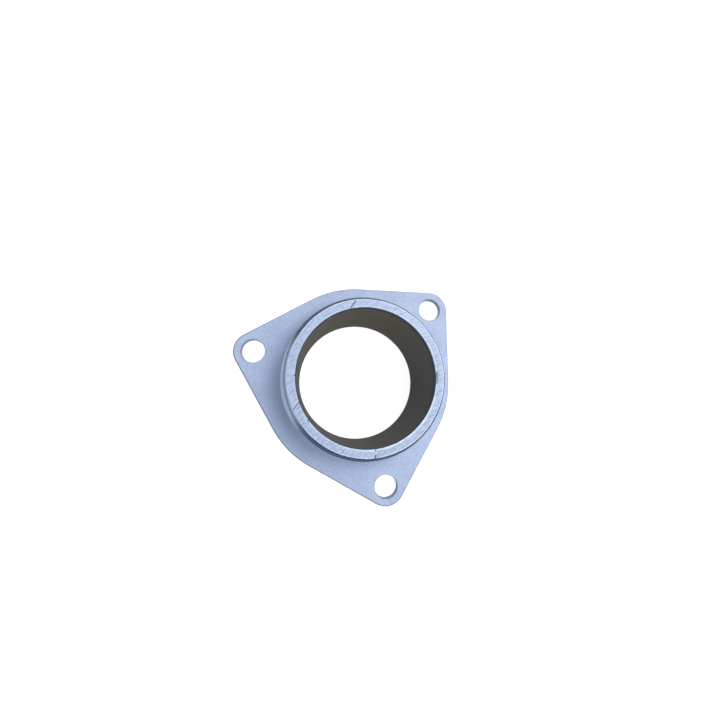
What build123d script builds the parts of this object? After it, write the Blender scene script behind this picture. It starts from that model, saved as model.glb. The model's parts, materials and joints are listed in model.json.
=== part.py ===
"""Pump inlet flange: a three-bolt plate and a turned pipe spigot, cast as one piece.

Millimetres. +Z is the spigot's axis, and points the way the pipe leaves. The origin is on the
bore's axis, in the plane of the face that bolts to the pump. The first bolt lobe is on +Y.
"""

import os

from build123d import *

# Bore and spigot
bore_diameter = 49.6
spigot_wall = 4.9
spigot_length = 16.5
bore_edge_chamfer = 0.3

# Bevel at the spigot's mouth
bevel_width = 1.4
bevel_length = 3.4

# Boss left as cast below the turned spigot
boss_shoulder_width = 2.1
boss_height = 8.0
boss_fillet_radius = 5.0
boss_edge_radius = 0.3

# Plate
plate_thickness = 2.5
plate_land_width = 3.2
plate_front_round = 0.6
plate_back_round = 0.3

# Bolt lobes
bolt_count = 3
bolt_hole_diameter = 9.5
washer_diameter = 16.0
washer_clearance = 0.2
lobe_wall = 3.25
bolt_hole_chamfer = 0.25

# Pilot ring that centres the flange in the pump's inlet
pilot_wall = 4.2
pilot_length = 5.5
pilot_chamfer = 1.0

# Radii from the bore outwards
bore_radius = bore_diameter / 2
pilot_radius = bore_radius + pilot_wall
spigot_radius = bore_radius + spigot_wall
boss_radius = spigot_radius + boss_shoulder_width
fillet_foot_radius = boss_radius + boss_fillet_radius
plate_disc_radius = fillet_foot_radius + plate_land_width

# Bolt holes stand clear of the fillet by one washer
bolt_hole_radius = bolt_hole_diameter / 2
bolt_circle_radius = fillet_foot_radius + washer_diameter / 2 + washer_clearance
lobe_radius = bolt_hole_radius + lobe_wall
first_bolt_angle = 90.0

# Heights from the mating face
shoulder_height = plate_thickness + boss_height
mouth_height = shoulder_height + spigot_length
pilot_end_height = -pilot_length


# How closely an edge must lie at a stated height and radius to be taken
edge_match = 0.01


def rims_at(part, height, radius):
    """The circular edges of one radius, at one height above the mating face."""
    rings = part.edges().filter_by(GeomType.CIRCLE)
    level = rings.filter_by_position(Axis.Z, height - edge_match, height + edge_match)
    return level.filter_by(lambda edge: abs(edge.radius - radius) < edge_match)


with BuildPart() as inlet_flange:
    # Plate: a disc and three lobes wrapped by tangent lines
    with BuildSketch(Plane.XY):
        Circle(plate_disc_radius)
        with PolarLocations(bolt_circle_radius, bolt_count, start_angle=first_bolt_angle):
            Circle(lobe_radius)
        make_hull()
    extrude(amount=plate_thickness)
    outline_edges = inlet_flange.edges()
    fillet(outline_edges.group_by(Axis.Z)[-1], radius=plate_front_round)
    fillet(outline_edges.group_by(Axis.Z)[0], radius=plate_back_round)

    # Boss, spigot and pilot: one half section turned about the bore's axis
    with BuildSketch(Plane.XZ):
        with BuildLine():
            Polyline(
                (0, pilot_end_height),
                (pilot_radius - pilot_chamfer, pilot_end_height),
                (pilot_radius, pilot_end_height + pilot_chamfer),
                (pilot_radius, 0),
                (boss_radius, 0),
                (boss_radius, shoulder_height),
                (spigot_radius, shoulder_height),
                (spigot_radius, mouth_height - bevel_length),
                (spigot_radius - bevel_width, mouth_height),
                (0, mouth_height),
                close=True,
            )
        make_face()
    revolve(axis=Axis.Z)
    fillet(rims_at(inlet_flange, plate_thickness, boss_radius), radius=boss_fillet_radius)
    fillet(rims_at(inlet_flange, shoulder_height, boss_radius), radius=boss_edge_radius)

    # Bore through everything, with both mouths eased
    Hole(bore_radius)
    chamfer(rims_at(inlet_flange, mouth_height, bore_radius), length=bore_edge_chamfer)
    chamfer(rims_at(inlet_flange, pilot_end_height, bore_radius), length=bore_edge_chamfer)

    # Bolt holes, one in the middle of each lobe
    with BuildSketch(Plane.XY):
        with PolarLocations(bolt_circle_radius, bolt_count, start_angle=first_bolt_angle):
            Circle(bolt_hole_radius)
    extrude(amount=plate_thickness, mode=Mode.SUBTRACT)
    hole_mouths = rims_at(inlet_flange, plate_thickness, bolt_hole_radius)
    chamfer(hole_mouths, length=bolt_hole_chamfer)

inlet_flange.part.label = "inlet_flange"

os.makedirs("parts", exist_ok=True)
export_step(inlet_flange.part, "parts/inlet_flange.step")
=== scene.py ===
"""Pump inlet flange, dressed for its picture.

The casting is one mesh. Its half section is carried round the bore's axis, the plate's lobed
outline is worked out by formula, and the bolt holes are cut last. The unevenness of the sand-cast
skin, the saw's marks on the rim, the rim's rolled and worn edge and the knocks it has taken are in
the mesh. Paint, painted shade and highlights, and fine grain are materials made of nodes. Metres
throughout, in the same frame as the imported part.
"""

import json
import math

import bpy
import numpy as np
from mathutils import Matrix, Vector, noise


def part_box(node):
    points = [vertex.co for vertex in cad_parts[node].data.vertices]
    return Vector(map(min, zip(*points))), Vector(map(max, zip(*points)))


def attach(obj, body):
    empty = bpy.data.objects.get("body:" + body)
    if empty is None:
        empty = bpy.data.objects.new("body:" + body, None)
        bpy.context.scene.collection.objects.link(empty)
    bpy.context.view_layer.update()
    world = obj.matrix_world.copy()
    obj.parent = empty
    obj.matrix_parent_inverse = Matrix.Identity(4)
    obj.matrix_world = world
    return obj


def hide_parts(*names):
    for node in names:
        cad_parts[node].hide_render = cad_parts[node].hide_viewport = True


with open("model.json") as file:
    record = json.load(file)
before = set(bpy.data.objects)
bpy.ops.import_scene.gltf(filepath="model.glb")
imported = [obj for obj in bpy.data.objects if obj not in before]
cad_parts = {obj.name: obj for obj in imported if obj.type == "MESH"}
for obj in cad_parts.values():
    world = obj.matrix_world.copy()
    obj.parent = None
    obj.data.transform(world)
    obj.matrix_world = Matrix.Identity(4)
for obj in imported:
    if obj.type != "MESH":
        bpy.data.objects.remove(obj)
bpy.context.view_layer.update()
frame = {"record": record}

bl_info = {
    "name": "Pump inlet flange",
    "version": (1, 0, 0),
    "blender": (4, 5, 0),
    "location": "3D View > Sidebar > Flange",
    "description": "Builds a painted cast pump inlet flange and the stage it lies on",
    "category": "Object",
}

MM = 0.001
NODE = "inlet_flange"
BODY = "root"

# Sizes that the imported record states
MOUNTS = {mount["name"]: mount["dims"] for mount in frame["record"]["mounts"]}
LOWEST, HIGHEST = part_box(NODE)

# Finishes of the casting, in the order of its material slots
CAST_SKIN, TURNED_WALL, BEVEL, RIM, BORE = range(5)

# Steps of the mesh round the bore's axis and round each bolt hole
ROUND_STEPS = 660
HOLE_STEPS = 96

# Edges that turn by more than this are shaded sharp
SHARP_TURN = math.radians(38)

# How far down the bore from its mouth the rows lie closer together
FINE_BORE = 6.0 * MM

# The corner between rim and bevel: how far in on the rim, how far out and down on the bevel
CORNER_IN = 0.2 * MM
CORNER_OUT = 0.06 * MM
CORNER_DROP = 0.15 * MM

# Where the saw's centre lay when the rim was cut, and how much a mark is drawn out along its arc
SAW_CENTRE = (68.0 * MM, -19.0 * MM)
MARK_STRETCH = 0.10

# Sides of the part: first bearing, last bearing and how far each end fades, in degrees
# The side with a painted highlight below the rim, where the rim's edge is also rolled out
HIGHLIGHT_AND_ROLL_SIDE = (192.0, 266.0, 14.0)
# The side where the spigot's shadow is painted on as shade
SHADOW_SIDE = (188.0, 302.0, 52.0)
# The side where the plate's edge has the most painted shade
EDGE_SHADE_SIDE = (186.0, 356.0, 26.0)
WORN_SIDE = (222.0, 304.0, 20.0)

# Shades toward a side: bearing in degrees, start and end in shares of the radius, value at each

# The bore's side with painted light, with painted shade toward the other side
BORE_LIGHT_SIDE = (93.0, -1.0, 1.0, 0.38, 2.15)

# The bore's side with the least brown stain
CLEAN_SIDE = (35.0, 0.3, 0.95, 0.0, 0.9)

# The bevel's side with a painted highlight
BEVEL_HIGHLIGHT_SIDE = (235.0, 0.74, 1.0, 0.0, 0.4)

# The side where the rim's inner edge is palest, scraped paint with a painted highlight
SCRAPED_AND_HIGHLIT_SIDE = (345.0, 0.6, 0.95, 0.3, 1.0)

WHITE = (1.0, 1.0, 1.0)


def length(label, description, metres):
    """A size that can be set in metres."""
    return bpy.props.FloatProperty(
        name=label, description=description, default=metres, min=0.0, precision=5, unit="LENGTH"
    )


def height(label, description, metres):
    """A place along the bore's axis, above or below the mating face."""
    return bpy.props.FloatProperty(
        name=label, description=description, default=metres, precision=5, unit="LENGTH"
    )


def turn(label, description, degrees):
    """A bearing round the bore's axis, or a camera's turn."""
    return bpy.props.FloatProperty(
        name=label, description=description, default=math.radians(degrees), subtype="ANGLE"
    )


def share(label, description, value):
    """A plain number from nought to one."""
    return bpy.props.FloatProperty(
        name=label, description=description, default=value, min=0.0, max=1.0, subtype="FACTOR"
    )


def colour(label, description, values):
    """A linear colour."""
    return bpy.props.FloatVectorProperty(
        name=label, description=description, default=values, size=3, min=0.0, max=1.0, subtype="COLOR"
    )


def power(label, description, watts):
    """What a lamp gives."""
    return bpy.props.FloatProperty(
        name=label, description=description, default=watts, min=0.0, unit="POWER"
    )


class FlangeSizes(bpy.types.PropertyGroup):
    """Sizes of the casting."""

    bore_radius: length("Bore radius", "Radius of the straight bore", MOUNTS["bore"]["r_mm"] * MM)
    bore_edge: length("Bore edge", "Chamfer at both mouths of the bore", 0.3 * MM)
    spigot_radius: length(
        "Spigot radius", "Radius that the hose goes over", MOUNTS["hose_spigot"]["r_mm"] * MM
    )
    bevel_width: length("Bevel width", "How far the bevel draws in the rim", 1.4 * MM)
    bevel_length: length("Bevel length", "How far the bevel runs down the spigot", 3.4 * MM)
    mouth_height: height("Mouth height", "Height of the rim's face", HIGHEST.z)
    shoulder_height: height("Shoulder height", "Height of the step below the spigot", 10.5 * MM)
    boss_radius: length("Boss radius", "Radius of the boss left as cast", 31.8 * MM)
    boss_edge: length("Boss edge", "Round on the boss's upper edge", 0.3 * MM)
    fillet_radius: length("Fillet radius", "Fillet between boss and plate", 5.0 * MM)
    plate_thickness: length("Plate thickness", "Thickness of the lobed plate", 2.5 * MM)
    plate_radius: length("Plate radius", "Radius of the plate between its lobes", 40.0 * MM)
    front_round: length("Front round", "Round on the plate's front edge", 0.6 * MM)
    back_round: length("Back round", "Round on the plate's back edge", 0.3 * MM)
    bolt_circle_radius: length(
        "Bolt circle radius", "Radius of the bolt circle", MOUNTS["bolt_circle"]["pcd_mm"] / 2 * MM
    )
    bolt_hole_radius: length(
        "Bolt hole radius", "Radius of each bolt hole", MOUNTS["bolt_circle"]["hole_r_mm"] * MM
    )
    bolt_hole_edge: length("Bolt hole edge", "Chamfer at the front of each hole", 0.25 * MM)
    bolt_count: bpy.props.IntProperty(
        name="Bolt count",
        description="How many bolt lobes the plate has",
        default=MOUNTS["bolt_circle"]["count"],
        min=2,
    )
    first_bolt: turn("First bolt", "Bearing of the first bolt hole", 90.0)
    lobe_radius: length(
        "Lobe radius",
        "Radius of the plate's end round each bolt hole",
        HIGHEST.y - MOUNTS["bolt_circle"]["pcd_mm"] / 2 * MM,
    )
    pilot_radius: length(
        "Pilot radius", "Radius of the ring below the plate", MOUNTS["pilot"]["r_mm"] * MM
    )
    pilot_chamfer: length("Pilot chamfer", "Chamfer at the pilot ring's end", 1.0 * MM)
    pilot_end: height("Pilot end", "Height of the pilot ring's end face", LOWEST.z)


class FlangeFinish(bpy.types.PropertyGroup):
    """Colours, roughness and unevenness of the casting's finishes."""

    paint: colour("Paint", "Blue-grey paint on the cast skin", (0.48, 0.57, 0.78))
    paint_shade: colour("Thin paint", "The paint where it lies thin", (0.435, 0.525, 0.73))
    # Painted shade in the spigot's shadow, and a painted highlight on one side of the bevel
    shade_and_highlight_paint: colour("Lee paint", "The paint on the side turned from the spray", (0.35, 0.435, 0.62))
    # Painted highlight on the shoulder and the bevel on one side
    highlight_paint: colour("Pale paint", "Paint that gathered below the rim", (0.70, 0.82, 1.0))
    rim_paint: colour("Rim paint", "Pale paint on the sawn rim", (0.465, 0.56, 0.77))
    rim_low: colour("Rim hollows", "The rim's paint in its hollows", (0.27, 0.34, 0.50))
    # Scraped paint on the rim's edges, partly a painted highlight
    rim_edge_paint_and_highlight: colour("Rim edge", "Paler paint on the rim's two edges", (0.80, 0.91, 1.0))
    # The bevel's dark paint, darkened further as painted shade
    bevel_paint_and_shade: colour("Bevel paint", "Dark paint on the bevel", (0.034, 0.068, 0.172))
    bore_metal: colour("Bore metal", "Bare dark iron of the bore", (0.076, 0.067, 0.044))
    bore_grey: colour("Bore grey", "Iron with less stain on one side", (0.068, 0.069, 0.072))
    bore_stain: colour("Bore stain", "Brown stain on the bore's iron", (0.076, 0.064, 0.037))
    # Paint run just inside the bore, in a dark colour that is painted shade
    overspray_in_shade: colour("Overspray", "Paint that ran just inside the bore", (0.058, 0.074, 0.115))
    scratch: colour("Scratch", "Dark bottom of a scratch", (0.055, 0.08, 0.15))
    # Painted shade along the plate's edge and round the bolt holes
    edge_shade_colour: colour("Edge dirt", "Grime and thin paint along the plate's edge", (0.13, 0.14, 0.17))
    paint_roughness: share("Paint roughness", "How dull the paint is", 0.5)
    thin_roughness: share("Thin paint roughness", "How dull the cast skin's thin paint is", 0.58)
    rim_roughness: share("Rim roughness", "How dull the rim is", 0.45)
    bore_roughness: share("Bore roughness", "How dull the bore's iron is", 0.6)
    dull_specular: share("Dull specular", "What bevel and bore mirror of the light", 0.1)
    lump_height: length("Lump height", "Slow unevenness of the cast skin", 0.05 * MM)
    skin_height: length("Skin height", "Finer unevenness of the cast skin", 0.018 * MM)
    chatter_depth: length("Chatter depth", "Depth of the marks across the rim", 0.035 * MM)
    edge_wander: length("Edge wander", "How far the rim's outer edge strays", 0.15 * MM)
    edge_wear: length("Edge wear", "How far the rim's edge is worn back on one side", 0.16 * MM)
    edge_roll: length("Edge roll", "How far the rim's edge is rolled out on one side", 0.26 * MM)


class FlangeStudio(bpy.types.PropertyGroup):
    """Floor, lamps and camera."""

    floor_width: length("Floor width", "Width of the floor", 3.0)
    floor_tone: colour("Floor tone", "Colour that the floor throws back", (0.45, 0.45, 0.46))
    floor_glow: share("Floor glow", "How much the floor glows to the camera", 0.88)
    world_tone: colour("World tone", "Colour of the light from all round", (0.88, 0.93, 1.0))
    world_light: share("World light", "Strength of the light from all round", 0.34)
    key_power: power("Key power", "Soft lamp close above on the right", 0.25)
    high_power: power("High power", "Lamp higher up on the same side", 0.52)
    top_power: power("Top power", "Lamp almost straight above", 0.26)
    front_power: power("Front power", "Lamp nearest the viewer", 0.42)
    lens: bpy.props.FloatProperty(
        name="Lens", description="The camera's lens in millimetres", default=17.056, min=1.0
    )
    camera_place: bpy.props.FloatVectorProperty(
        name="Camera place",
        description="Where the camera stands",
        default=(-0.007625, -0.019229, 0.145266),
        precision=6,
        unit="LENGTH",
    )
    camera_turn: bpy.props.FloatVectorProperty(
        name="Camera turn",
        description="How the camera is turned",
        default=(math.radians(6.7032), math.radians(-7.8672), math.radians(45.1928)),
        precision=5,
        subtype="EULER",
    )


# Section and outline


class Section:
    """The half section as rows: a radius at every angle, a height and a finish."""

    def __init__(self, angles):
        self.angles = angles
        self.radii = []
        self.heights = []
        self.finishes = []

    def row(self, radius, level, finish):
        """One row round the axis. The finish is that of the strip up to the next row."""
        self.radii.append(np.broadcast_to(radius, self.angles.shape))
        self.heights.append(level)
        self.finishes.append(finish)

    def run(self, start, end, count, finish):
        """A straight run in so many rows, without its last row."""
        for step in range(count):
            way = step / count
            radius = start[0] + (end[0] - start[0]) * way
            self.row(radius, start[1] + (end[1] - start[1]) * way, finish)

    def arc(self, centre, radius, first, last, count, finish):
        """A rounded run in so many rows, without its last, its bearings given in degrees."""
        for step in range(count):
            bearing = math.radians(first + (last - first) * step / count)
            across = centre[0] + radius * math.cos(bearing)
            self.row(across, centre[1] + radius * math.sin(bearing), finish)

    def points(self):
        """Rows, angles and coordinates as one array."""
        radii = np.array(self.radii)
        levels = np.repeat(np.array(self.heights)[:, None], len(self.angles), axis=1)
        return np.stack((radii * np.cos(self.angles), radii * np.sin(self.angles), levels), axis=2)


def plate_outline(angles, sizes, inset):
    """Radius of the plate's outline: a disc and its lobes, wrapped by tangent lines."""
    disc = sizes.plate_radius - inset
    lobe = sizes.lobe_radius - inset
    reach = sizes.bolt_circle_radius
    pitch = math.tau / sizes.bolt_count
    off_lobe = np.abs((angles - sizes.first_bolt + pitch / 2) % pitch - pitch / 2)
    lean = math.acos((disc - lobe) / reach)
    lobe_end = math.atan2(lobe * math.sin(lean), reach + lobe * math.cos(lean))
    across = np.maximum(lobe**2 - (reach * np.sin(off_lobe)) ** 2, 0.0)
    round_part = reach * np.cos(off_lobe) + np.sqrt(across)
    straight_part = disc / np.cos(off_lobe - lean)
    outline = np.where(off_lobe < lean, straight_part, disc)
    return np.where(off_lobe < lobe_end, round_part, outline)


def edge_round(section, sizes, radius, first, last, level, count, finish):
    """A quarter round on the plate's edge in so many rows, its bearings given in degrees."""
    for step in range(count):
        bearing = math.radians(first + (last - first) * step / count)
        inset = radius * (1 - math.cos(bearing))
        outline = plate_outline(section.angles, sizes, inset)
        section.row(outline, level + radius * math.sin(bearing), finish)


def flange_section(angles, sizes):
    """The whole section, up the bore, over the spigot and plate, and back under to the bore."""
    section = Section(angles)
    bore = sizes.bore_radius
    edge = sizes.bore_edge
    mouth = sizes.mouth_height
    spigot = sizes.spigot_radius
    rim_edge = spigot - sizes.bevel_width
    bevel_foot = mouth - sizes.bevel_length
    shoulder = sizes.shoulder_height
    boss = sizes.boss_radius
    fillet = sizes.fillet_radius
    front = sizes.plate_thickness
    pilot = sizes.pilot_radius
    pilot_end = sizes.pilot_end
    fine = mouth - FINE_BORE

    # Bore and rim
    section.run((bore + edge, pilot_end), (bore, pilot_end + edge), 2, BORE)
    section.run((bore, pilot_end + edge), (bore, fine), 12, BORE)
    section.run((bore, fine), (bore, mouth - edge), 10, BORE)
    section.run((bore, mouth - edge), (bore + edge, mouth), 3, BORE)
    section.run((bore + edge, mouth), (rim_edge - CORNER_IN, mouth), 15, RIM)

    # Bevel, spigot and shoulder
    corner = (rim_edge + CORNER_OUT, mouth - CORNER_DROP)
    section.run((rim_edge - CORNER_IN, mouth), corner, 1, BEVEL)
    section.run(corner, (spigot, bevel_foot), 14, BEVEL)
    section.run((spigot, bevel_foot), (spigot, shoulder), 8, TURNED_WALL)
    section.run((spigot, shoulder), (boss - sizes.boss_edge, shoulder), 6, TURNED_WALL)

    # Boss and fillet
    edge_centre = (boss - sizes.boss_edge, shoulder - sizes.boss_edge)
    section.arc(edge_centre, sizes.boss_edge, 90, 0, 3, CAST_SKIN)
    section.run((boss, shoulder - sizes.boss_edge), (boss, front + fillet), 3, CAST_SKIN)
    section.arc((boss + fillet, front + fillet), fillet, 180, 270, 11, CAST_SKIN)

    # Plate
    front_edge = plate_outline(angles, sizes, sizes.front_round)
    back_edge = plate_outline(angles, sizes, sizes.back_round)
    full_edge = plate_outline(angles, sizes, 0.0)
    side_top = front - sizes.front_round
    section.run((boss + fillet, front), (front_edge, front), 19, CAST_SKIN)
    edge_round(section, sizes, sizes.front_round, 90, 0, side_top, 4, CAST_SKIN)
    section.run((full_edge, side_top), (full_edge, sizes.back_round), 2, CAST_SKIN)
    edge_round(section, sizes, sizes.back_round, 0, -90, sizes.back_round, 3, CAST_SKIN)
    section.run((back_edge, 0.0), (pilot, 0.0), 11, TURNED_WALL)

    # Pilot ring
    chamfer = sizes.pilot_chamfer
    section.run((pilot, 0.0), (pilot, pilot_end + chamfer), 4, TURNED_WALL)
    section.run((pilot, pilot_end + chamfer), (pilot - chamfer, pilot_end), 2, TURNED_WALL)
    section.run((pilot - chamfer, pilot_end), (bore + edge, pilot_end), 4, TURNED_WALL)
    return section


# Wear of the surface

# How wide the lumps of each noise are
LUMP_SIZE = 6.0 * MM
SKIN_SIZE = 1.6 * MM
STREAK_SIZE = 0.8 * MM
PATCH_SIZE = 0.9 * MM
SLOW_STRAY_SIZE = 5.0 * MM
QUICK_STRAY_SIZE = 1.3 * MM

# How strong the patches between the saw's streaks are, and the slow and quick stray of the edge
PATCH_SHARE = 0.6
SLOW_SHARE = 0.7
QUICK_SHARE = 0.5

# How far from the rim's edge its wear reaches, and how far below the rim's face a knock does
EDGE_REACH = 1.2 * MM
KNOCK_REACH = 1.2 * MM

# Painted shade in the spigot's shadow: width where it begins, how far past the boss it stays, its fade
SHADOW_EDGE = 0.3 * MM
SHADOW_REACH = 2.0 * MM
SHADOW_FADE = 6.0 * MM

# Painted shade on the plate's edge: how far in from the disc's radius it can lie, and its fade there
EDGE_SHADE_BAND = 1.0 * MM
BAND_FADE = 0.2 * MM

# How far below the front the painted shade begins, its fade, and its least and added share
EDGE_SHADE_DROP = 0.01 * MM
EDGE_SHADE_FADE = 0.035 * MM
EDGE_SHADE_LEAST = 0.12
EDGE_SHADE_ADDED = 0.68

# The painted glint beside a knock: how far off and how wide, in widths of the knock, and how bright
GLINT_OFFSET = 1.9
GLINT_WIDTH = 0.6
GLINT_SHARE = 0.5


def rising(values, start, width):
    """Nought up to the start, and rising to one over the width."""
    return np.clip((values - start) / width, 0.0, 1.0)


def only(section, finish):
    """One on the rows of one finish, nought on the others."""
    return np.array([1.0 if kind == finish else 0.0 for kind in section.finishes])[:, None]


def on_side(points, side):
    """One on a side of the part, fading to nought at its ends and outside."""
    first, last, fade = side
    bearing = np.degrees(np.arctan2(points[..., 1], points[..., 0])) % 360
    return rising(bearing, first, fade) * rising(-bearing, -last, fade)


def spigot_shadow(points, sizes):
    """Painted shade where the spigot's shadow falls on fillet and shoulder, away from the lamps."""
    radii = np.hypot(points[..., 0], points[..., 1])
    levels = points[..., 2]
    outside = rising(radii, sizes.spigot_radius - SHADOW_EDGE, SHADOW_EDGE)
    near = 1 - rising(radii, sizes.boss_radius + SHADOW_REACH, SHADOW_FADE)
    low = 1 - rising(levels, sizes.shoulder_height, SHADOW_EDGE)
    above = rising(levels, 0.0, sizes.plate_thickness)
    return on_side(points, SHADOW_SIDE) * outside * near * low * above


def plate_edge_shade(points, section, sizes):
    """Painted shade on the lower part of the round on the plate's front edge, and the edge below it."""
    outer = rising(np.array(section.radii), sizes.plate_radius - EDGE_SHADE_BAND, BAND_FADE)
    drop = rising(sizes.plate_thickness - points[..., 2], EDGE_SHADE_DROP, EDGE_SHADE_FADE)
    edge_shade_share = EDGE_SHADE_LEAST + EDGE_SHADE_ADDED * on_side(points, EDGE_SHADE_SIDE)
    return only(section, CAST_SKIN) * outer * drop * edge_shade_share


def grid_normals(points):
    """Outward normals of a grid that closes on itself both ways."""
    along = np.roll(points, -1, axis=0) - np.roll(points, 1, axis=0)
    around = np.roll(points, -1, axis=1) - np.roll(points, 1, axis=1)
    normals = np.cross(along, around)
    return normals / np.linalg.norm(normals, axis=2, keepdims=True)


def noise_at(points, size, offset=0.0):
    """Smooth noise from minus one to one, whose lumps are about one size across."""
    flat = points.reshape(-1, 3) / size + offset
    values = [noise.noise(Vector(place)) for place in flat]
    return np.array(values).reshape(points.shape[:-1])


def cast_relief(points, section, finish):
    """How far the cast skin stands proud of its true surface."""
    cast = only(section, CAST_SKIN)
    cast = np.minimum(cast, np.roll(cast, 1, axis=0))
    lumps = noise_at(points, LUMP_SIZE) * finish.lump_height
    skin = noise_at(points, SKIN_SIZE, offset=31.0) * finish.skin_height
    return (lumps + skin) * cast


def rim_relief(points, section, finish):
    """Saw marks across the rim's face, as long shallow arcs about the blade's centre."""
    across = points[..., 0] - SAW_CENTRE[0]
    along = points[..., 1] - SAW_CENTRE[1]
    reach = np.hypot(across, along)
    swing = np.arctan2(along, across) * reach
    marks = np.stack((reach, swing * MARK_STRETCH, np.zeros_like(reach)), axis=2)
    streaks = noise_at(marks, STREAK_SIZE)
    patches = noise_at(points, PATCH_SIZE, offset=7.0)
    return (streaks + PATCH_SHARE * patches) * finish.chatter_depth * only(section, RIM)


# The rolled lip: how far below the mouth, and what share of the whole roll it has there
ROLL_DROPS = (0.0 * MM, 0.3 * MM, 0.6 * MM, 0.9 * MM, 1.3 * MM)
ROLL_SHARES = (0.0, 0.85, 1.0, 0.55, 0.0)


def edge_stray(points, section, sizes, finish):
    """How far outwards the rim's outer edge and the bevel below it stray from true."""
    radii = np.array(section.radii)
    levels = np.array(section.heights)[:, None]
    rim_edge = sizes.spigot_radius - sizes.bevel_width
    from_edge = np.hypot(radii - rim_edge, levels - sizes.mouth_height)
    reach = (1 - rising(from_edge, 0.0, EDGE_REACH)) ** 2
    slow = noise_at(points, SLOW_STRAY_SIZE, offset=11.0)
    quick = noise_at(points, QUICK_STRAY_SIZE, offset=23.0)
    wander = (SLOW_SHARE * slow + QUICK_SHARE * quick) * finish.edge_wander * reach
    below = np.interp(sizes.mouth_height - levels, ROLL_DROPS, ROLL_SHARES) * only(section, BEVEL)
    worn = on_side(points, WORN_SIDE) * reach * finish.edge_wear
    return wander - worn + below * on_side(points, HIGHLIGHT_AND_ROLL_SIDE) * finish.edge_roll


# Knocks on the rim: name, both ends as radius in mm and bearing, width and depth in mm, darkness
RIM_MARKS = (
    ("scratch over the top", (27.7, 144.2), (25.4, 148.9), 0.26, 0.18, 1.0),
    ("scratch low on the left", (24.9, 245.6), (28.1, 249.1), 0.20, 0.20, 0.9),
    ("second line beside it", (24.9, 248.4), (26.6, 249.9), 0.18, 0.14, 0.7),
    ("step at the bottom", (24.9, 321.3), (25.7, 321.2), 0.28, 0.22, 0.9),
    ("nick below the step", (27.3, 320.7), (28.7, 320.4), 0.30, 0.30, 1.0),
    ("nick inside on the left", (24.8, 224.4), (25.35, 224.4), 0.26, 0.24, 1.0),
    ("notch inside, lower left", (24.8, 261.4), (25.4, 261.6), 0.30, 0.26, 1.0),
    ("worn patch, upper end", (25.5, 49.0), (25.45, 44.6), 0.45, 0.12, 1.0),
    ("worn patch, lower end", (25.4, 43.4), (25.3, 40.6), 0.38, 0.10, 0.9),
    ("speck above the patch", (26.3, 47.6), (26.5, 46.9), 0.20, 0.05, 0.5),
    ("fine line by the step", (25.4, 323.0), (27.6, 322.6), 0.14, 0.05, 0.3),
    ("fine line on the right", (25.6, 12.0), (27.8, 13.5), 0.14, 0.05, 0.25),
    ("fine line, lower left", (25.4, 252.5), (27.9, 255.0), 0.14, 0.05, 0.3),
)


def polar(place):
    """A point of the rim's face from its radius in mm and its bearing in degrees."""
    bearing = math.radians(place[1])
    return np.array((math.cos(bearing), math.sin(bearing))) * place[0] * MM


def rim_marks(points, sizes):
    """Depth, darkness and painted glint beside every knock at each point of the grid."""
    depth = np.zeros(points.shape[:-1])
    dark = np.zeros(points.shape[:-1])
    painted_glint = np.zeros(points.shape[:-1])
    near_face = 1 - rising(sizes.mouth_height - points[..., 2], 0.0, KNOCK_REACH)
    for _, start, end, width, deep, darkness in RIM_MARKS:
        first = polar(start)
        line = polar(end) - first
        offset = points[..., :2] - first
        way = np.clip(offset @ line / (line @ line), 0.0, 1.0)
        away = np.linalg.norm(offset - way[..., None] * line, axis=2)
        mark = np.exp(-((away / (width * MM)) ** 2)) * near_face
        depth = np.maximum(depth, mark * deep * MM)
        dark = np.maximum(dark, mark * darkness)
        side = np.sign(offset[..., 0] * line[1] - offset[..., 1] * line[0])
        beside = np.exp(-(((away * side) / (width * MM) - GLINT_OFFSET) / GLINT_WIDTH) ** 2) * near_face
        painted_glint = np.maximum(painted_glint, beside * darkness * GLINT_SHARE)
    return depth, dark, painted_glint


# Mesh


def placed(name, data):
    """A new object in the scene that holds this data."""
    item = bpy.data.objects.new(name, data)
    bpy.context.scene.collection.objects.link(item)
    return item


def closed_grid(name, points, finishes):
    """A mesh of quads from a grid that closes on itself both ways."""
    rows, steps = points.shape[:2]
    index = np.arange(rows * steps).reshape(rows, steps)
    above = np.roll(index, -1, axis=0)
    corners = (index, above, np.roll(above, -1, axis=1), np.roll(index, -1, axis=1))
    quads = np.stack(corners, axis=2).reshape(-1, 4)
    mesh = bpy.data.meshes.new(name)
    mesh.from_pydata(points.reshape(-1, 3).tolist(), [], quads.tolist())
    mesh.polygons.foreach_set("material_index", np.repeat(finishes, steps).astype(np.int32))
    return mesh


def store(mesh, name, values):
    """Keeps one number at each point of the mesh, for a material to read."""
    attribute = mesh.attributes.new(name, "FLOAT", "POINT")
    attribute.data.foreach_set("value", values.astype(np.float32).ravel())


def hole_cutter(name, centre, sizes):
    """A plug the shape of one bolt hole, flared where the hole's front edge is eased."""
    steps = HOLE_STEPS
    radius = sizes.bolt_hole_radius
    edge = sizes.bolt_hole_edge
    front = sizes.plate_thickness
    over = 1.0 * MM
    levels = (
        (radius, -over),
        (radius, front - edge),
        (radius + edge + over, front + over),
    )
    angles = np.arange(steps) * math.tau / steps
    points = [
        (centre[0] + width * math.cos(angle), centre[1] + width * math.sin(angle), level)
        for width, level in levels
        for angle in angles
    ]
    faces = [tuple(reversed(range(steps)))]
    for ring in range(len(levels) - 1):
        low = ring * steps
        for step in range(steps):
            ahead = (step + 1) % steps
            faces.append((low + step, low + ahead, low + steps + ahead, low + steps + step))
    last = (len(levels) - 1) * steps
    faces.append(tuple(range(last, last + steps)))
    mesh = bpy.data.meshes.new(name)
    mesh.from_pydata(points, [], faces)
    return mesh


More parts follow.
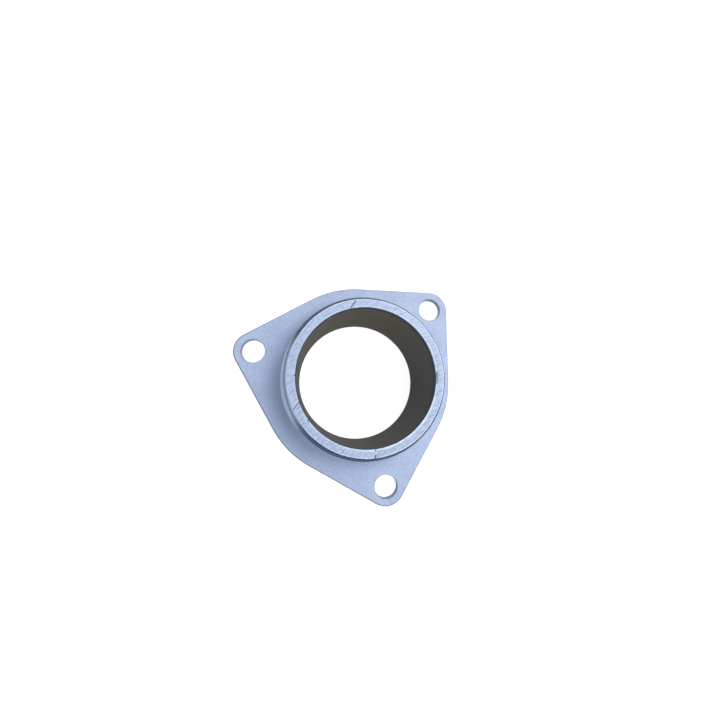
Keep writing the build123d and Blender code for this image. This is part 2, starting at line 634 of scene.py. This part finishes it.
def bolt_centres(sizes):
    """Where the bolt holes are."""
    pitch = math.tau / sizes.bolt_count
    reach = sizes.bolt_circle_radius
    for bolt in range(sizes.bolt_count):
        bearing = sizes.first_bolt + bolt * pitch
        yield reach * math.cos(bearing), reach * math.sin(bearing)


def cut_bolt_holes(piece, sizes):
    """Cuts the bolt holes through the plate and leaves the mesh with no modifier."""
    cutters = []
    for number, centre in enumerate(bolt_centres(sizes), start=1):
        name = f"hole_{number}"
        cutter = placed(name, hole_cutter(name, centre, sizes))
        cut = piece.modifiers.new(name, "BOOLEAN")
        cut.operation = "DIFFERENCE"
        cut.solver = "EXACT"
        cut.object = cutter
        cutters.append(cutter)
    graph = bpy.context.evaluated_depsgraph_get()
    finished = bpy.data.meshes.new_from_object(piece.evaluated_get(graph), depsgraph=graph)
    rough = piece.data
    piece.modifiers.clear()
    piece.data = finished
    bpy.data.meshes.remove(rough)
    for cutter in cutters:
        mesh = cutter.data
        bpy.data.objects.remove(cutter)
        bpy.data.meshes.remove(mesh)


def make_casting(sizes, finish):
    """The whole flange as one mesh object."""
    angles = (np.arange(ROUND_STEPS) + 0.5) * math.tau / ROUND_STEPS
    section = flange_section(angles, sizes)
    true = section.points()
    normals = grid_normals(true)
    depth, dark, painted_glint = rim_marks(true, sizes)
    relief = cast_relief(true, section, finish) + rim_relief(true, section, finish)
    points = true + normals * relief[..., None]
    points[..., 2] -= depth
    outwards = edge_stray(true, section, sizes, finish)
    points[..., 0] += np.cos(angles) * outwards
    points[..., 1] += np.sin(angles) * outwards

    mesh = closed_grid("flange_casting", points, section.finishes)
    store(mesh, "scored", dark)
    # Painted glint beside each knock
    store(mesh, "painted_glint", painted_glint)
    # Painted highlight below the rim on one side
    store(mesh, "painted_highlight", on_side(true, HIGHLIGHT_AND_ROLL_SIDE))
    # Painted shade in the spigot's shadow
    store(mesh, "lee", spigot_shadow(true, sizes))
    # Painted shade along the plate's edge
    store(mesh, "plate_edge_shade", plate_edge_shade(true, section, sizes))
    for material in casting_materials(finish, sizes):
        mesh.materials.append(material)
    piece = placed("flange_casting", mesh)
    cut_bolt_holes(piece, sizes)
    piece.data.shade_smooth()
    piece.data.set_sharp_from_angle(angle=SHARP_TURN)
    return piece


# Materials

# Lumps per metre of each noise in a finish
TURNED_SCALE = 1800.0
BLOTCH_SCALE = 700.0
STREAK_SCALE = 2200.0
SPECK_SCALE = 1500.0
GLINT_SCALE = 1100.0
RAGGED_SCALE = 500.0

# How noises and heights are stretched: their own range, then the range that they are given
PATCH_RANGE = (0.35, 0.65, 0.0, 1.0)
FLECK_RANGE = (0.3, 0.7, -1.0, 1.0)
PIT_RANGE = (0.0, 0.3, 0.0, 1.0)
BLOTCH_RANGE = (0.5, 0.9, 0.0, 1.0)
HOLLOW_RANGE = (0.70, 1.0, 0.0, 1.0)
GLINT_RANGE = (0.35, 0.6, 0.5, 1.0)
GROOVE_RANGE = (0.5, 1.0, 0.82, 1.12)

# On the rim: how strong its specks and streaks' relief are, and how far its edges fade by the painted
# highlight
SPECK_SHARE = 0.6
STREAK_RELIEF = 1.5
HIGHLIGHT_SIDE_DIM = 0.7

# Depths below the rim's face where the painted highlight on the bevel's lip ends and on its foot begins
LIP_ENDS = (0.9 * MM, 0.7 * MM)
FOOT_BEGINS = (1.9 * MM, 2.3 * MM)

# Distances from the shoulder's level where its painted highlight is gone and where it is full
SHOULDER_FADE = (0.6 * MM, 0.2 * MM)

# Distances from the rim's two edges where their scraped paint and painted highlight are gone and full
INNER_FRINGE = (0.8 * MM, 0.3 * MM)
OUTER_FRINGE = (-0.6 * MM, -0.3 * MM)

# Overspray in the bore: how far down it starts, how far it runs and how ragged its end is
SPRAY_DROP = 0.4 * MM
SPRAY_RUN = 2.2 * MM
SPRAY_RAGGED = 0.8 * MM

# Heights where the bore begins to darken and is darkest, and what is left of its colour at each
DEEP_SHADE = (18 * MM, 0.0, 1.0, 0.75)

# How far the painted shade round a bolt hole reaches past its eased edge, and how dark it is
HOLE_RING = 0.2 * MM
HOLE_RING_SHARE = 0.35


class Tree:
    """A node tree with short ways to add and join nodes."""

    def __init__(self, tree):
        self.tree = tree

    def node(self, kind, inputs=None, **settings):
        """Adds a node, sets its properties, and sets or links its inputs by name or number."""
        node = self.tree.nodes.new(kind)
        for key, value in settings.items():
            setattr(node, key, value)
        for key, value in (inputs or {}).items():
            self.feed(node.inputs[key], value)
        return node

    def feed(self, socket, value):
        """Links an output to a socket, or sets the socket's own value, with alpha on a colour."""
        if isinstance(value, bpy.types.NodeSocket):
            self.tree.links.new(value, socket)
        elif socket.type == "RGBA" and len(value) == 3:
            socket.default_value = (*value, 1.0)
        else:
            socket.default_value = value

    def math(self, operation, *values, clamp=False):
        """The output of a Math node."""
        node = self.node("ShaderNodeMath", operation=operation, use_clamp=clamp)
        for number, value in enumerate(values):
            self.feed(node.inputs[number], value)
        return node.outputs[0]

    def mix(self, amount, first, second):
        """The output of a colour mix."""
        node = self.node("ShaderNodeMix", data_type="RGBA")
        self.feed(node.inputs["Factor"], amount)
        self.feed(node.inputs[6], first)
        self.feed(node.inputs[7], second)
        return node.outputs[2]

    def noise(self, vector, scale, detail=2.0, roughness=0.5):
        """The grey output of a noise texture."""
        node = self.node(
            "ShaderNodeTexNoise",
            {"Vector": vector, "Scale": scale, "Detail": detail, "Roughness": roughness},
        )
        return node.outputs[0]

    def spread(self, value, low, high, to_low=0.0, to_high=1.0):
        """A value stretched from one range to another and kept inside it."""
        node = self.node(
            "ShaderNodeMapRange",
            {"Value": value, "From Min": low, "From Max": high, "To Min": to_low, "To Max": to_high},
        )
        return node.outputs[0]

    def place(self):
        """Each point's place in the part's own frame."""
        return self.node("ShaderNodeTexCoord").outputs["Object"]

    def parts(self, place):
        """The three coordinates of a place."""
        return self.node("ShaderNodeSeparateXYZ", {0: place}).outputs

    def vector(self, *values):
        """A place made of its first coordinates."""
        return self.node("ShaderNodeCombineXYZ", dict(enumerate(values))).outputs[0]

    def radius(self, parts):
        """How far a place is from the bore's axis."""
        flat = self.vector(parts[0], parts[1])
        return self.node("ShaderNodeVectorMath", {0: flat}, operation="LENGTH").outputs["Value"]

    def toward(self, place, radius, side):
        """A value that changes toward one side of the part, as far as the radius."""
        bearing, start, end, at_start, at_end = side
        way = (math.cos(math.radians(bearing)), math.sin(math.radians(bearing)), 0.0)
        node = self.node("ShaderNodeVectorMath", {0: place, 1: way}, operation="DOT_PRODUCT")
        return self.spread(node.outputs["Value"], start * radius, end * radius, at_start, at_end)

    def scaled(self, colour_output, amount):
        """A colour made lighter or darker."""
        node = self.node("ShaderNodeVectorMath", {0: colour_output, "Scale": amount}, operation="SCALE")
        return node.outputs[0]

    def stored(self, name):
        """The number that the mesh keeps at each point under this name."""
        return self.node("ShaderNodeAttribute", attribute_name=name).outputs["Fac"]


def new_group(name, inputs, outputs):
    """An empty shader node group with named sockets, its tree and its inner ends."""
    group = bpy.data.node_groups.new(name, "ShaderNodeTree")
    for label, kind, default in inputs:
        socket = group.interface.new_socket(name=label, in_out="INPUT", socket_type=kind)
        socket.default_value = default
    for label, kind in outputs:
        group.interface.new_socket(name=label, in_out="OUTPUT", socket_type=kind)
    tree = Tree(group)
    given = tree.node("NodeGroupInput")
    result = tree.node("NodeGroupOutput")
    return group, tree, given, result


def paint_tone_group():
    """Paint that lies a little thicker and thinner, with fine specks."""
    grey = (0.5, 0.5, 0.5, 1.0)
    group, tree, given, result = new_group(
        "paint_tone",
        (
            ("Colour", "NodeSocketColor", grey),
            ("Thin Colour", "NodeSocketColor", grey),
            ("Patch Size", "NodeSocketFloat", 10.0 * MM),
            ("Speck Size", "NodeSocketFloat", 0.6 * MM),
            ("Speck Strength", "NodeSocketFloat", 0.1),
        ),
        (("Colour", "NodeSocketColor"), ("Patches", "NodeSocketFloat")),
    )
    place = tree.place()
    patch_scale = tree.math("DIVIDE", 1.0, given.outputs["Patch Size"])
    patches = tree.spread(tree.noise(place, patch_scale, detail=3.0), *PATCH_RANGE)
    tone = tree.mix(patches, given.outputs["Colour"], given.outputs["Thin Colour"])
    speck_scale = tree.math("DIVIDE", 1.0, given.outputs["Speck Size"])
    specks = tree.spread(tree.noise(place, speck_scale), *FLECK_RANGE)
    lift = tree.math("MULTIPLY_ADD", specks, given.outputs["Speck Strength"], 1.0)
    tree.feed(result.inputs["Colour"], tree.scaled(tone, lift))
    tree.feed(result.inputs["Patches"], patches)
    return group


def cast_grain_group():
    """The grain that a sand mould leaves, as a height."""
    group, tree, given, result = new_group(
        "cast_grain",
        (("Grain Size", "NodeSocketFloat", 0.8 * MM), ("Pits", "NodeSocketFloat", 0.4)),
        (("Height", "NodeSocketFloat"),),
    )
    place = tree.place()
    scale = tree.math("DIVIDE", 1.0, given.outputs["Grain Size"])
    grain = tree.noise(place, scale, detail=3.0, roughness=0.6)
    cells = tree.node("ShaderNodeTexVoronoi", {"Vector": place, "Scale": scale})
    pits = tree.spread(cells.outputs["Distance"], *PIT_RANGE)
    sunk = tree.math("MULTIPLY", pits, given.outputs["Pits"])
    tree.feed(result.inputs["Height"], tree.math("ADD", grain, sunk))
    return group


def turned_rings_group():
    """Fine uneven rings about the bore's axis, as a height."""
    group, tree, given, result = new_group(
        "turned_rings",
        (("Pitch", "NodeSocketFloat", 0.5 * MM), ("Unevenness", "NodeSocketFloat", 0.5)),
        (("Height", "NodeSocketFloat"),),
    )
    place = tree.place()
    parts = tree.parts(place)
    along = tree.math("ADD", tree.radius(parts), parts[2])
    turns = tree.math("DIVIDE", along, given.outputs["Pitch"])
    rings = tree.noise(tree.vector(turns), 1.0)
    rough = tree.noise(place, TURNED_SCALE)
    uneven = tree.math("MULTIPLY", rough, given.outputs["Unevenness"])
    tree.feed(result.inputs["Height"], tree.math("ADD", rings, uneven))
    return group


def shared_groups():
    """The node groups that more than one finish uses, made once."""
    makers = {
        "paint_tone": paint_tone_group,
        "cast_grain": cast_grain_group,
        "turned_rings": turned_rings_group,
    }
    return {name: bpy.data.node_groups.get(name) or make() for name, make in makers.items()}


def new_material(name):
    """A material with its Principled shader, and its tree."""
    material = bpy.data.materials.new(name)
    material.use_nodes = True
    return material, Tree(material.node_tree), material.node_tree.nodes["Principled BSDF"]


def place_group(tree, group, inputs):
    """A node group set in a material with its own values."""
    node = tree.node("ShaderNodeGroup", node_tree=group)
    for key, value in inputs.items():
        tree.feed(node.inputs[key], value)
    return node


# Sizes of a coat's patches and specks, and the specks' strength
SKIN_COAT = (9 * MM, 0.7 * MM, 0.10)
TURNED_COAT = (7 * MM, 0.5 * MM, 0.05)
BORE_COAT = (14 * MM, 0.6 * MM, 0.1)


def uneven_coat(tree, groups, thick, thin, coat):
    """The outputs of a coat in two colours."""
    values = {
        "Colour": thick,
        "Thin Colour": thin,
        "Patch Size": coat[0],
        "Speck Size": coat[1],
        "Speck Strength": coat[2],
    }
    return place_group(tree, groups["paint_tone"], values).outputs


def dress(tree, shader, tone, roughness, relief, depth):
    """Feeds the shader a colour, a roughness, and a height with its depth in metres."""
    node = tree.node("ShaderNodeBump", {"Height": relief, "Distance": depth})
    tree.feed(shader.inputs["Base Color"], tone)
    tree.feed(shader.inputs["Roughness"], roughness)
    tree.feed(shader.inputs["Normal"], node.outputs[0])


def bolt_hole_shade(tree, sizes):
    """A thin ring of painted shade where each bolt hole's front edge is eased."""
    place = tree.place()
    nearest = 1.0
    for centre in bolt_centres(sizes):
        middle = (*centre, sizes.plate_thickness)
        away = tree.node("ShaderNodeVectorMath", {0: place, 1: middle}, operation="DISTANCE")
        nearest = tree.math("MINIMUM", nearest, away.outputs["Value"])
    edge = sizes.bolt_hole_radius + sizes.bolt_hole_edge
    return tree.spread(nearest, edge + HOLE_RING, edge, 0.0, HOLE_RING_SHARE)


def painted_skin(finish, sizes, groups):
    """Satin paint over the sand-cast skin, with painted shade by the spigot and along edges and holes.
    """
    material, tree, shader = new_material("painted_cast_skin")
    coat = uneven_coat(tree, groups, finish.paint, finish.paint_shade, SKIN_COAT)
    # Painted shade in the spigot's shadow
    thin = tree.mix(tree.stored("lee"), coat["Colour"], finish.shade_and_highlight_paint)
    # Painted shade along the plate's edge and round the bolt holes
    edge_shade = tree.math("MAXIMUM", tree.stored("plate_edge_shade"), bolt_hole_shade(tree, sizes))
    tone = tree.mix(edge_shade, thin, finish.edge_shade_colour)
    roughness = tree.spread(coat["Patches"], 0.0, 1.0, finish.paint_roughness, finish.thin_roughness)
    grain = place_group(tree, groups["cast_grain"], {"Grain Size": 0.9 * MM, "Pits": 0.35})
    dress(tree, shader, tone, roughness, grain.outputs["Height"], depth=0.03 * MM)
    return material


def painted_turning(finish, sizes, groups):
    """The same paint on turned faces: spigot, shoulder, mating face and pilot; painted highlight and
    shade.
    """
    material, tree, shader = new_material("painted_turned_wall")
    coat = uneven_coat(tree, groups, finish.paint, finish.paint_shade, TURNED_COAT)
    level = tree.parts(tree.place())[2]
    off_shoulder = tree.math("ABSOLUTE", tree.math("SUBTRACT", level, sizes.shoulder_height))
    shoulder = tree.spread(off_shoulder, *SHOULDER_FADE)
    # Painted highlight on the shoulder on one side
    pale = tree.math("MULTIPLY", tree.stored("painted_highlight"), shoulder)
    # Painted shade in the spigot's shadow
    thin = tree.mix(tree.stored("lee"), coat["Colour"], finish.shade_and_highlight_paint)
    tone = tree.mix(pale, thin, finish.highlight_paint)
    rings = place_group(tree, groups["turned_rings"], {"Pitch": 0.45 * MM, "Unevenness": 0.5})
    dress(tree, shader, tone, finish.paint_roughness, rings.outputs["Height"], depth=0.02 * MM)
    return material


def dark_bevel(finish, sizes, groups):
    """Dark paint and painted shade on the bevel round the mouth; painted highlights on its lip and
    foot.
    """
    material, tree, shader = new_material("dark_bevel")
    place = tree.place()
    drop = tree.math("SUBTRACT", sizes.mouth_height, tree.parts(place)[2])
    blotch = tree.spread(tree.noise(place, BLOTCH_SCALE, detail=3.0), *BLOTCH_RANGE)
    # Dark paint, darkened further as painted shade
    dark = tree.mix(blotch, finish.bevel_paint_and_shade, finish.scratch)
    # Painted highlight toward one side of the bevel, and on its lip and foot there
    bevel_highlight = tree.toward(place, sizes.spigot_radius, BEVEL_HIGHLIGHT_SIDE)
    highlit_bevel = tree.mix(bevel_highlight, dark, finish.shade_and_highlight_paint)
    pale = tree.stored("painted_highlight")
    above_line = tree.spread(drop, *LIP_ENDS)
    below_line = tree.spread(drop, *FOOT_BEGINS)
    lip = tree.mix(tree.math("MULTIPLY", pale, above_line), highlit_bevel, finish.shade_and_highlight_paint)
    tone = tree.mix(tree.math("MULTIPLY", pale, below_line), lip, finish.highlight_paint)
    rings = place_group(tree, groups["turned_rings"], {"Pitch": 0.4 * MM, "Unevenness": 0.8})
    dress(tree, shader, tone, finish.paint_roughness, rings.outputs["Height"], depth=0.02 * MM)
    shader.inputs["Specular IOR Level"].default_value = finish.dull_specular
    return material


def saw_streaks(tree, parts):
    """Noise drawn out along the saw's arcs."""
    across = tree.math("SUBTRACT", parts[0], SAW_CENTRE[0])
    along = tree.math("SUBTRACT", parts[1], SAW_CENTRE[1])
    reach = tree.radius((across, along))
    swing = tree.math("MULTIPLY", tree.math("ARCTAN2", along, across), reach)
    drawn = tree.math("MULTIPLY", swing, MARK_STRETCH)
    return tree.noise(tree.vector(reach, drawn), STREAK_SCALE, detail=3.0, roughness=0.6)


def scraped_and_highlit_edges(tree, place, radius, sizes):
    """The rim's two pale edges, worn paint and painted highlight: broken, and weaker on one side."""
    inner = sizes.bore_radius + sizes.bore_edge
    outer = sizes.spigot_radius - sizes.bevel_width
    inside = tree.spread(radius, inner + INNER_FRINGE[0], inner + INNER_FRINGE[1])
    outside = tree.spread(radius, outer + OUTER_FRINGE[0], outer + OUTER_FRINGE[1])
    worn_and_highlit = tree.math("MULTIPLY", inside, tree.toward(place, inner, SCRAPED_AND_HIGHLIT_SIDE))
    both = tree.math("ADD", worn_and_highlit, outside, clamp=True)
    glints = tree.spread(tree.noise(place, GLINT_SCALE), *GLINT_RANGE)
    highlight_side_dimming = tree.math("MULTIPLY", tree.stored("painted_highlight"), HIGHLIGHT_SIDE_DIM)
    strength = tree.math("MULTIPLY", glints, tree.math("SUBTRACT", 1.0, highlight_side_dimming))
    return tree.math("MULTIPLY", both, strength)


def rim_face(finish, sizes, groups):
    """Thin pale paint on the rim, broken by saw arcs; worn paint, painted highlights and glints at its
    edges.
    """
    material, tree, shader = new_material("pale_rim")
    place = tree.place()
    parts = tree.parts(place)
    streaks = saw_streaks(tree, parts)
    specked = tree.math("MULTIPLY_ADD", tree.noise(place, SPECK_SCALE), SPECK_SHARE, streaks)
    tone = tree.mix(tree.spread(specked, *HOLLOW_RANGE), finish.rim_paint, finish.rim_low)
    worn_and_highlit = scraped_and_highlit_edges(tree, place, tree.radius(parts), sizes)
    # Scraped paint and painted highlights on the edges, and painted glints beside the knocks
    pale = tree.math("MAXIMUM", worn_and_highlit, tree.stored("painted_glint"))
    tone = tree.mix(pale, tone, finish.rim_edge_paint_and_highlight)
    tone = tree.mix(tree.stored("scored"), tone, finish.scratch)
    grain = place_group(tree, groups["cast_grain"], {"Grain Size": 0.5 * MM, "Pits": 0.2})
    relief = tree.math("ADD", tree.math("MULTIPLY", streaks, STREAK_RELIEF), grain.outputs["Height"])
    dress(tree, shader, tone, finish.rim_roughness, relief, depth=0.03 * MM)
    return material


def bare_bore(finish, sizes, groups):
    """Bare dark iron, brown stain, painted light and shade by side and depth, and paint run in at the
    mouth.
    """
    material, tree, shader = new_material("bare_bore")
    place = tree.place()
    level = tree.parts(place)[2]
    reach = sizes.bore_radius
    coat = uneven_coat(tree, groups, finish.bore_metal, finish.bore_stain, BORE_COAT)
    clean = tree.toward(place, reach, CLEAN_SIDE)
    iron = tree.mix(clean, coat["Colour"], finish.bore_grey)

    rings = place_group(tree, groups["turned_rings"], {"Pitch": 0.5 * MM, "Unevenness": 0.6})
    grooves = tree.spread(rings.outputs["Height"], *GROOVE_RANGE)
    deep = tree.spread(level, *DEEP_SHADE)
    # Painted light toward one side and painted shade toward the other
    bore_light_and_shade = tree.toward(place, reach, BORE_LIGHT_SIDE)
    shade = tree.math("MULTIPLY", grooves, tree.math("MULTIPLY", deep, bore_light_and_shade))

    ragged = tree.math("MULTIPLY_ADD", tree.noise(place, RAGGED_SCALE), SPRAY_RAGGED, level)
    edge = sizes.mouth_height - SPRAY_DROP
    sprayed = tree.spread(ragged, edge - SPRAY_RUN, edge)
    # Paint run in at the mouth, darkened as painted shade
    tone = tree.mix(sprayed, tree.scaled(iron, shade), finish.overspray_in_shade)
    dress(tree, shader, tone, finish.bore_roughness, rings.outputs["Height"], depth=0.03 * MM)
    shader.inputs["Specular IOR Level"].default_value = finish.dull_specular
    return material


def casting_materials(finish, sizes):
    """One material for each finish, in the order of the mesh's slots."""
    groups = shared_groups()
    return (
        painted_skin(finish, sizes, groups),
        painted_turning(finish, sizes, groups),
        dark_bevel(finish, sizes, groups),
        rim_face(finish, sizes, groups),
        bare_bore(finish, sizes, groups),
    )


# Stage


def white_to_camera(tree, lit, seen):
    """A shader that lights the object as lit, and looks seen to the camera and in reflections."""
    path = tree.node("ShaderNodeLightPath")
    sharp = tree.math("ADD", path.outputs["Is Camera Ray"], path.outputs["Is Glossy Ray"])
    direct = tree.math("ADD", sharp, path.outputs["Is Transmission Ray"], clamp=True)
    mixed = tree.node("ShaderNodeMixShader", {0: direct})
    tree.feed(mixed.inputs[1], lit)
    tree.feed(mixed.inputs[2], seen)
    return mixed.outputs[0]


def floor_material(studio):
    """A pale floor that keeps a soft shadow, looks white, and is clear from below."""
    material, tree, shader = new_material("studio_floor")
    tree.tree.nodes.remove(shader)
    output = tree.tree.nodes["Material Output"]
    plain = tree.node("ShaderNodeBsdfDiffuse", {"Color": studio.floor_tone})
    glow = tree.node("ShaderNodeEmission", {"Color": WHITE, "Strength": studio.floor_glow})
    both = tree.node("ShaderNodeAddShader", {0: plain.outputs[0], 1: glow.outputs[0]})
    seen = white_to_camera(tree, plain.outputs[0], both.outputs[0])
    below = tree.node("ShaderNodeNewGeometry").outputs["Backfacing"]
    clear = tree.node("ShaderNodeBsdfTransparent")
    open_below = tree.node("ShaderNodeMixShader", {0: below, 1: seen, 2: clear.outputs[0]})
    tree.feed(output.inputs["Surface"], open_below.outputs[0])
    return material


def make_floor(sizes, studio):
    """A flat floor at the height of the face that the flange lies on."""
    half = studio.floor_width / 2
    level = sizes.pilot_end
    mesh = bpy.data.meshes.new("studio_floor")
    corners = [(-half, -half, level), (half, -half, level), (half, half, level), (-half, half, level)]
    mesh.from_pydata(corners, [], [(0, 1, 2, 3)])
    mesh.materials.append(floor_material(studio))
    floor = placed("studio_floor", mesh)


def set_world(studio):
    """Soft light from all round, which looks white to the camera."""
    world = bpy.data.worlds.new("studio_world")
    world.use_nodes = True
    tree = Tree(world.node_tree)
    world.node_tree.nodes.clear()
    output = tree.node("ShaderNodeOutputWorld")
    values = {"Color": studio.world_tone, "Strength": studio.world_light}
    light = tree.node("ShaderNodeBackground", values)
    white = tree.node("ShaderNodeBackground", {"Color": WHITE, "Strength": 1.0})
    seen = white_to_camera(tree, light.outputs[0], white.outputs[0])
    tree.feed(output.inputs["Surface"], seen)
    bpy.context.scene.world = world


# Bearing and elevation of each lamp in degrees, its distance and width in metres, and its tint
LAMPS = {
    "key_lamp": (75, 70, 0.25, 0.15, WHITE),
    "high_lamp": (75, 70, 0.6, 0.2, WHITE),
    "top_lamp": (75, 88, 0.6, 0.2, WHITE),
    "front_lamp": (300, 50, 0.6, 0.2, (0.85, 0.93, 1.0)),
}


def add_lamp(name, watts):
    """A square soft lamp that points at the flange."""
    bearing, elevation, distance, width, tint = LAMPS[name]
    lamp = bpy.data.lights.new(name, "AREA")
    lamp.shape = "SQUARE"
    lamp.size = width
    lamp.energy = watts
    lamp.color = tint
    turned = math.radians(bearing)
    raised = math.radians(elevation)
    across = math.cos(raised)
    way = Vector((across * math.cos(turned), across * math.sin(turned), math.sin(raised)))
    holder = placed(name, lamp)
    holder.location = way * distance
    holder.rotation_euler = way.to_track_quat("Z", "Y").to_euler()


def add_lamps(studio):
    """The studio's lamps."""
    add_lamp("key_lamp", studio.key_power)
    add_lamp("high_lamp", studio.high_power)
    add_lamp("top_lamp", studio.top_power)
    add_lamp("front_lamp", studio.front_power)


def add_camera(studio):
    """A camera at the picture's viewing angle."""
    data = bpy.data.cameras.new("camera")
    data.lens = studio.lens
    data.sensor_width = 36.0
    data.clip_start = 0.005
    camera = placed("camera", data)
    camera.location = studio.camera_place
    camera.rotation_euler = studio.camera_turn
    bpy.context.scene.camera = camera


# Operators and panel


class OBJECT_OT_flange_casting(bpy.types.Operator):
    """Build the painted casting in place of the plain one"""

    bl_idname = "object.flange_casting"
    bl_label = "Build flange casting"

    def execute(self, context):
        piece = make_casting(context.scene.flange_sizes, context.scene.flange_finish)
        if not piece.data.polygons:
            raise RuntimeError("the casting came out with no faces")
        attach(piece, BODY)
        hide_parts(NODE)
        return {"FINISHED"}


class SCENE_OT_flange_stage(bpy.types.Operator):
    """Set the floor, the soft light and the camera"""

    bl_idname = "scene.flange_stage"
    bl_label = "Set stage"

    def execute(self, context):
        studio = context.scene.flange_studio
        make_floor(context.scene.flange_sizes, studio)
        set_world(studio)
        add_lamps(studio)
        add_camera(studio)
        context.scene.view_settings.view_transform = "Standard"
        return {"FINISHED"}


class VIEW3D_PT_flange(bpy.types.Panel):
    """Sizes, finish and stage of the pump inlet flange"""

    bl_idname = "VIEW3D_PT_flange"
    bl_label = "Pump inlet flange"
    bl_space_type = "VIEW_3D"
    bl_region_type = "UI"
    bl_category = "Flange"

    def draw(self, context):
        layout = self.layout
        for name in ("flange_sizes", "flange_finish", "flange_studio"):
            settings = getattr(context.scene, name)
            box = layout.box()
            for key in settings.__annotations__:
                box.prop(settings, key)
        layout.operator(OBJECT_OT_flange_casting.bl_idname)
        layout.operator(SCENE_OT_flange_stage.bl_idname)


CLASSES = (
    FlangeSizes,
    FlangeFinish,
    FlangeStudio,
    OBJECT_OT_flange_casting,
    SCENE_OT_flange_stage,
    VIEW3D_PT_flange,
)


def register():
    """Registers the classes and hangs the settings on the scene."""
    for item in CLASSES:
        bpy.utils.register_class(item)
    bpy.types.Scene.flange_sizes = bpy.props.PointerProperty(type=FlangeSizes)
    bpy.types.Scene.flange_finish = bpy.props.PointerProperty(type=FlangeFinish)
    bpy.types.Scene.flange_studio = bpy.props.PointerProperty(type=FlangeStudio)


def unregister():
    """Takes the settings and the classes away again."""
    del bpy.types.Scene.flange_studio
    del bpy.types.Scene.flange_finish
    del bpy.types.Scene.flange_sizes
    for item in reversed(CLASSES):
        bpy.utils.unregister_class(item)


def main():
    """Builds the whole scene."""
    register()
    bpy.ops.object.flange_casting()
    bpy.ops.scene.flange_stage()


if __name__ == "__main__":
    main()
